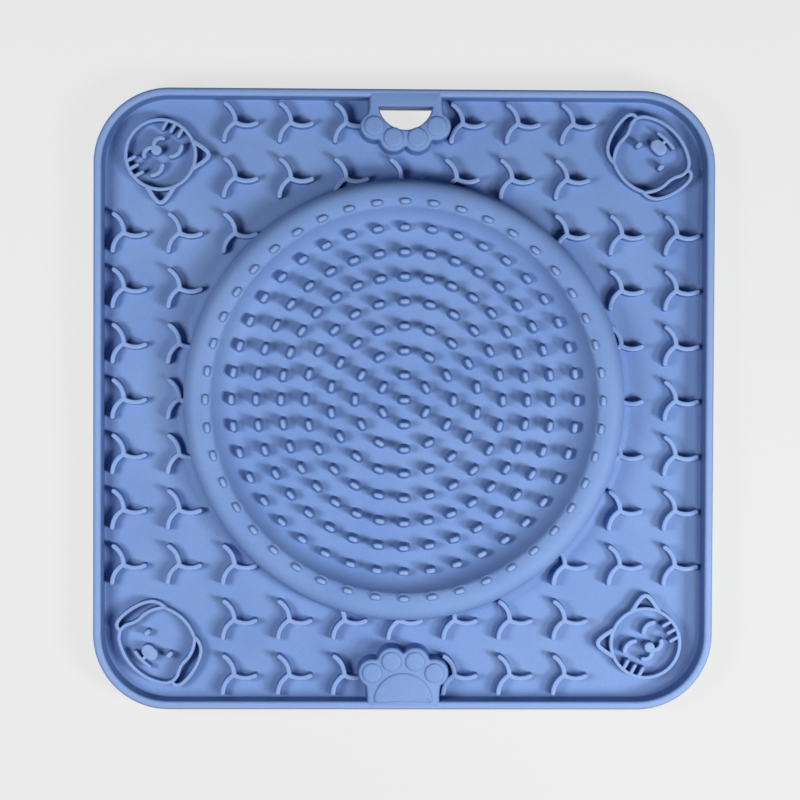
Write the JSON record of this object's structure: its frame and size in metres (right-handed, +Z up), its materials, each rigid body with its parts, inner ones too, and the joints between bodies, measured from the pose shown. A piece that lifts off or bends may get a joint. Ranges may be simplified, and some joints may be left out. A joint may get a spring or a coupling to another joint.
{
  "type": "moulded pet feeding mat",
  "caption": "Square moulded silicone feeding mat with a low rim, a round bowl of soft nubs, curled ribs, pet faces in the corners, a hang tab and a paw tab.",
  "frame": {"origin": "centre of the mat on its underside", "axes": "+Z up out of the tray, +Y towards the hang tab, +X to the right seen from above"},
  "size_m": [0.205, 0.205, 0.0142],
  "materials": {
    "silicone": "satin"
  },
  "bodies": {
    "root": {"base_sheet": "silicone", "outer_rim": "silicone", "bowl_ring": "silicone", "dish_floor": "silicone", "nub_centre": "silicone", "nub_ring_1": "silicone", "nub_ring_2": "silicone", "nub_ring_3": "silicone", "nub_ring_4": "silicone", "nub_ring_5": "silicone", "nub_ring_6": "silicone", "nub_ring_7": "silicone", "nub_ring_8": "silicone", "rib_row_01": "silicone", "rib_row_02": "silicone", "rib_row_03": "silicone", "rib_row_04": "silicone", "rib_row_05": "silicone", "rib_row_06": "silicone", "rib_row_07": "silicone", "rib_row_08": "silicone", "rib_row_09": "silicone", "rib_row_10": "silicone", "rib_row_11": "silicone", "cat_upper_left_head": "silicone", "cat_upper_left_whiskers": "silicone", "cat_upper_left_eyes": "silicone", "cat_upper_left_muzzle": "silicone", "cat_lower_right_head": "silicone", "cat_lower_right_whiskers": "silicone", "cat_lower_right_eyes": "silicone", "cat_lower_right_muzzle": "silicone", "dog_upper_right_head": "silicone", "dog_upper_right_eyes": "silicone", "dog_upper_right_muzzle": "silicone", "dog_lower_left_head": "silicone", "dog_lower_left_eyes": "silicone", "dog_lower_left_muzzle": "silicone", "hang_tab": "silicone", "hang_tab_toe_pads": "silicone", "paw_tab": "silicone", "paw_tab_toe_pads": "silicone", "paw_tab_heel_pad": "silicone"}
  },
  "joints": []
}
